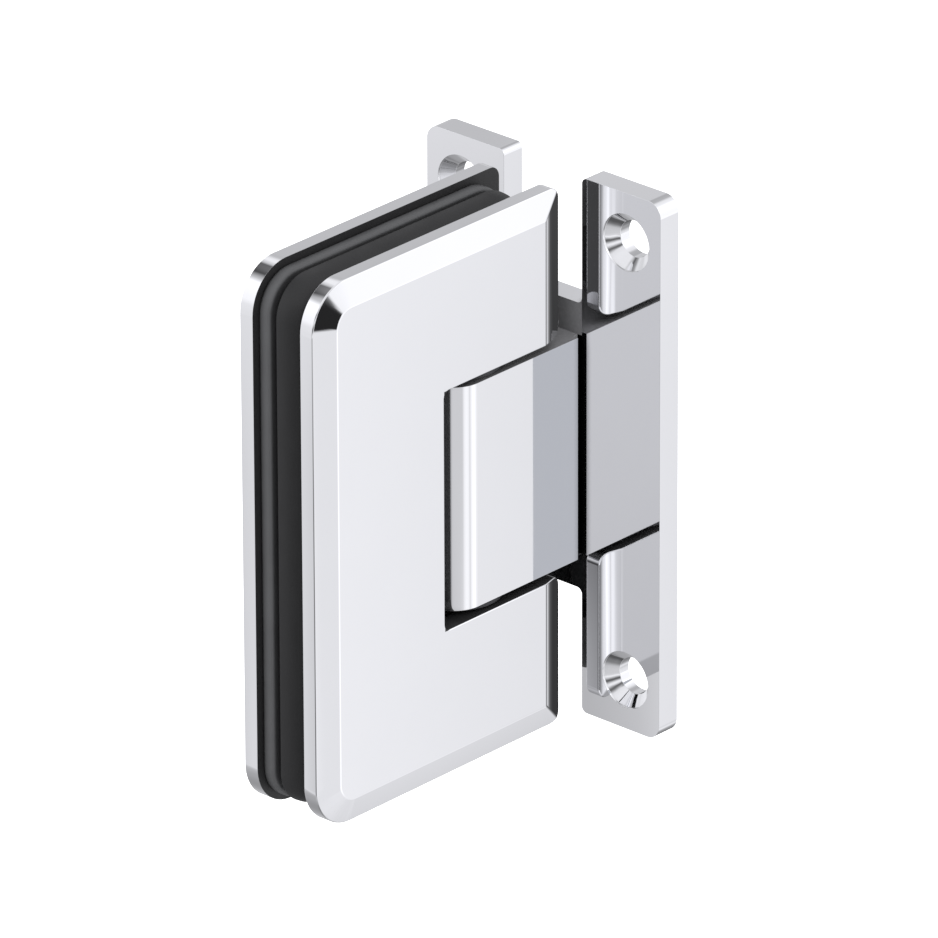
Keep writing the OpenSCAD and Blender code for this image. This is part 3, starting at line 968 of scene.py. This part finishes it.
# The tent's tones from azimuth -180 to 180 degrees, from +X towards +Y, at each height: the
# height's elevation in degrees, then pairs of azimuth and tone.
TENT_TONES = (
    (-62, (
        (-180, 0.35), (-155, 0.1), (-137, 0.1), (-110, 0.5), (-60, 0.62), (0, 0.5), (90, 0.35),
        (130, 0.25), (180, 0.35),
    )),
    (-42, (
        (-180, 0.5), (-150, 0.5), (-137, 0.55), (-90, 0.8), (-60, 0.9), (-31, 0.95),
        (-26, 0.84), (-22.3, 0.73), (-20.6, 0.62), (-19, 0.53), (-5, 0.25), (30, 0.2),
        (60, 0.6), (100, 0.35), (137, 0.42), (160, 0.5), (180, 0.5),
    )),
    (-32, (
        (-180, 0.3), (-171, 0.02), (-151, 0.02), (-143, 0.58), (-137.6, 0.6), (-115, 0.7),
        (-99, 0.95), (-92, 1.05), (-82, 1.0), (-80.5, 0.84), (-75.5, 0.83), (-74, 0.98),
        (-58, 1.25), (-51, 0.96), (-46, 0.92), (-39, 0.82), (-30, 0.42), (-20, 0.15), (-8, 0.08),
        (20, 0.03), (34, 0.3), (42, 0.52), (52, 0.3), (70, 0.9), (131, 0.5), (137.4, 0.5),
        (138.6, 0.74), (139.9, 0.8), (140.9, 0.66), (180, 0.3),
    )),
    (-22, (
        (-180, 0.35), (-173, 0.3), (-170, 0.02), (-150, 0.02), (-143, 0.62), (-137.6, 0.66),
        (-115, 0.66), (-105.7, 0.66), (-99, 0.95), (-92, 1.05), (-82, 1.0), (-80.5, 0.84),
        (-75.5, 0.83), (-74, 0.98), (-58, 1.25), (-51, 0.97), (-46, 0.92), (-39, 0.82),
        (-30, 0.42), (-20, 0.15), (-8, 0.08), (20, 0.03), (40, 0.06), (56, 0.2), (70, 0.9),
        (120, 0.78), (138, 0.66), (139, 0.74), (139.9, 0.77), (140.9, 0.7), (180, 0.35),
    )),
    (-16, (
        (-180, 0.35), (-150, 0.6), (-137, 0.7), (-110, 0.8), (-84, 0.85), (-70, 0.84),
        (-62, 1.15), (-50, 0.97), (-38, 0.84), (-28, 0.4), (-10, 0.08), (30, 0.05), (50, 0.06),
        (70, 0.9), (110, 0.9), (134, 0.8), (150, 0.85), (180, 0.35),
    )),
    (-13, (
        (-180, 0.4), (-150, 0.9), (-137, 0.98), (-110, 0.9), (-92, 0.75), (-87, 0.02),
        (-71, 0.02), (-68, 0.98), (-47, 1.2), (-30, 0.8), (0, 0.1), (30, 0.1), (50, 0.1),
        (70, 0.9), (110, 0.9), (150, 0.8), (180, 0.4),
    )),
    (0, (
        (-180, 0.2), (-150, 0.12), (-130, 0.12), (-110, 0.7), (-92, 0.7), (-87, 0.02),
        (-70.5, 0.02), (-68, 1.0), (-47, 1.1), (-30, 0.9), (0, 0.55), (20, 0.4), (60, 0.85),
        (110, 0.9), (150, 0.85), (180, 0.2),
    )),
    (13, (
        (-180, 0.6), (-150, 0.95), (-130, 0.95), (-90, 0.85), (-52, 1.1), (-38, 1.1), (0, 0.6),
        (38, 0.66), (44, 0.58), (60, 0.58), (90, 0.75), (115, 1.05), (155, 1.05), (180, 0.6),
    )),
    (26, (
        (-180, 0.4), (-150, 0.15), (-130, 0.15), (-90, 0.85), (-52, 1.5), (-36, 1.5), (-10, 0.62),
        (38.6, 0.66), (39.7, 0.56), (60, 0.57), (90, 0.75), (118, 1.1), (150, 1.1), (180, 0.4),
    )),
    (38, (
        (-180, 0.85), (-130, 0.85), (-90, 0.7), (-30, 1.2), (-8, 0.9), (8, 0.5), (32, 0.45),
        (42, 0.5), (66, 0.6), (85, 0.3), (112, 0.3), (122, 1.2), (140, 1.3), (180, 0.85),
    )),
    (47, (
        (-180, 0.9), (-130, 0.9), (-90, 0.7), (-30, 0.95), (-8, 0.9), (8, 0.5), (34, 0.45),
        (44, 0.9), (66, 0.95), (76, 0.6), (83, 0.02), (112, 0.02), (122, 0.5), (140, 0.9),
        (180, 0.9),
    )),
    (75, ((-180, 0.85), (0, 0.85), (180, 0.85))),
)


def tone_ramp(tree, turn_share, tones):
    """Tone by azimuth, which turn_share gives as a share of the full turn."""
    node = tree.nodes.new("ShaderNodeValToRGB")
    ramp = node.color_ramp
    stops = [((azimuth + 180) / 360, tone) for azimuth, tone in tones]
    while len(ramp.elements) < len(stops):
        ramp.elements.new(0.5)
    for element, (place, _) in zip(ramp.elements, stops):
        element.position = place
    for element, (_, tone) in zip(ramp.elements, stops):
        element.color = (tone, tone, tone, 1)
    tree.links.new(turn_share, node.inputs["Fac"])
    return node.outputs["Color"]


def tent_material(centre, tint):
    """Glowing cloth of the light tent, with lighter and darker panels by TENT_TONES."""
    material, tree, output = new_material("light_tent")
    coordinates = tree.nodes.new("ShaderNodeTexCoord")
    offset = tree.nodes.new("ShaderNodeVectorMath")
    offset.operation = "SUBTRACT"
    offset.inputs[1].default_value = centre
    unit = tree.nodes.new("ShaderNodeVectorMath")
    unit.operation = "NORMALIZE"
    split = tree.nodes.new("ShaderNodeSeparateXYZ")
    tree.links.new(coordinates.outputs["Object"], offset.inputs[0])
    tree.links.new(offset.outputs[0], unit.inputs[0])
    tree.links.new(unit.outputs[0], split.inputs[0])
    turn = link_math(tree, "ARCTAN2", split.outputs["Y"], split.outputs["X"])
    turn_share = link_math(tree, "MULTIPLY_ADD", turn, 0.5 / math.pi, 0.5)
    lift = link_math(tree, "ARCSINE", split.outputs["Z"])
    below, tones = TENT_TONES[0]
    glow = tone_ramp(tree, turn_share, tones)
    for elevation, tones in TENT_TONES[1:]:
        rise = between(
            tree, lift, 0, 1, math.radians(below), math.radians(elevation), curve="SMOOTHSTEP"
        )
        glow = mixed(tree, rise, glow, tone_ramp(tree, turn_share, tones))
        below = elevation
    colored = mixed(tree, 1.0, glow, (*tint, 1))
    colored.node.blend_type = "MULTIPLY"
    cloth = tree.nodes.new("ShaderNodeEmission")
    tree.links.new(colored, cloth.inputs["Color"])
    tree.links.new(cloth.outputs[0], output.inputs["Surface"])
    return material


def add_tent(studio):
    """Light tent around the hinge, as a photographer uses for chrome. Only mirrors show it."""
    centre = (CAD_BOX[0] + CAD_BOX[1]) / 2
    ring_count = 48
    work = bmesh.new()
    bmesh.ops.create_uvsphere(
        work, u_segments=2 * ring_count, v_segments=ring_count, radius=studio.tent_radius,
        matrix=Matrix.Translation(centre),
    )
    bmesh.ops.reverse_faces(work, faces=work.faces)
    mesh = bpy.data.meshes.new("light_tent")
    work.to_mesh(mesh)
    work.free()
    mesh.materials.append(tent_material(centre, studio.tint))
    tent = added("light_tent", mesh)
    mirror_only(tent)


def add_grey_card(studio):
    """Grey card behind the hinge, which the block's wall side mirrors to the camera."""
    reach = 18 * MM
    grey = (0.49, 0.505, 0.545, 1)
    far, near = -15.5 * MM, WALL_FACE
    eye = camera_place(studio)
    corners = []
    for x, z in ((far, -BLOCK_TOP), (near, -BLOCK_TOP), (near, BLOCK_TOP), (far, BLOCK_TOP)):
        place = Vector((x, -BLOCK_SIDE, z))
        ray = (place - eye).normalized()
        ray.y = -ray.y
        corners.append(place + ray * reach / ray.x)
    material, tree, output = new_material("grey_card")
    card = tree.nodes.new("ShaderNodeEmission")
    card.inputs["Color"].default_value = grey
    tree.links.new(card.outputs[0], output.inputs["Surface"])
    mirror_only(stage_quad("grey_card", corners, material))


def add_key_light(studio):
    """Large soft light from the upper left front, for the rubber; mirrors don't show it."""
    place = Vector((-0.6, -0.35, 0.6))
    data = bpy.data.lights.new("key", "AREA")
    data.shape = "SQUARE"
    data.size = 0.5
    data.energy = studio.key_power
    key = added("key", data)
    key.location = place
    key.rotation_mode = "QUATERNION"
    key.rotation_quaternion = (-place).to_track_quat("-Z", "Y")
    key.visible_glossy = False


# The stage's operator, the panel and the add-on's registration


class HINGE_OT_stage(bpy.types.Operator):
    """Camera, floor, white surroundings, light tent, grey card and key light"""

    bl_idname = "hinge.stage"
    bl_label = "Stage"

    def execute(self, context):
        studio = context.scene.hinge_studio
        context.scene.view_settings.view_transform = "Standard"
        add_camera(studio)
        add_floor(studio)
        add_world()
        add_tent(studio)
        add_grey_card(studio)
        add_key_light(studio)
        return {"FINISHED"}


class HINGE_PT_sidebar(bpy.types.Panel):
    """Lists the steps and their settings"""

    bl_idname = "HINGE_PT_sidebar"
    bl_label = "Hinge"
    bl_space_type = "VIEW_3D"
    bl_region_type = "UI"
    bl_category = "Hinge"

    def draw(self, context):
        for group in SETTINGS:
            settings = getattr(context.scene, group)
            box = self.layout.box()
            for name in settings.__annotations__:
                box.prop(settings, name)
        for operator in OPERATORS:
            self.layout.operator(operator.bl_idname)


OPERATORS = (
    HINGE_OT_wall_plate, HINGE_OT_pivot_block, HINGE_OT_clamp_plates, HINGE_OT_gaskets,
    HINGE_OT_turned_parts, HINGE_OT_screws, HINGE_OT_springs, HINGE_OT_stage,
)
SETTINGS = {
    "hinge_edges": HingeEdges, "hinge_fittings": HingeFittings, "hinge_finish": HingeFinish,
    "hinge_studio": HingeStudio,
}
CLASSES = (*SETTINGS.values(), *OPERATORS, HINGE_PT_sidebar)


def register():
    for cls in CLASSES:
        bpy.utils.register_class(cls)
    for name, cls in SETTINGS.items():
        setattr(bpy.types.Scene, name, PointerProperty(type=cls))


def unregister():
    for name in SETTINGS:
        delattr(bpy.types.Scene, name)
    for cls in reversed(CLASSES):
        bpy.utils.unregister_class(cls)


def main():
    register()
    bpy.ops.hinge.wall_plate()
    bpy.ops.hinge.pivot_block()
    bpy.ops.hinge.clamp_plates()
    bpy.ops.hinge.gaskets()
    bpy.ops.hinge.turned_parts()
    bpy.ops.hinge.screws()
    bpy.ops.hinge.springs()
    bpy.ops.hinge.stage()


if __name__ == "__main__":
    main()
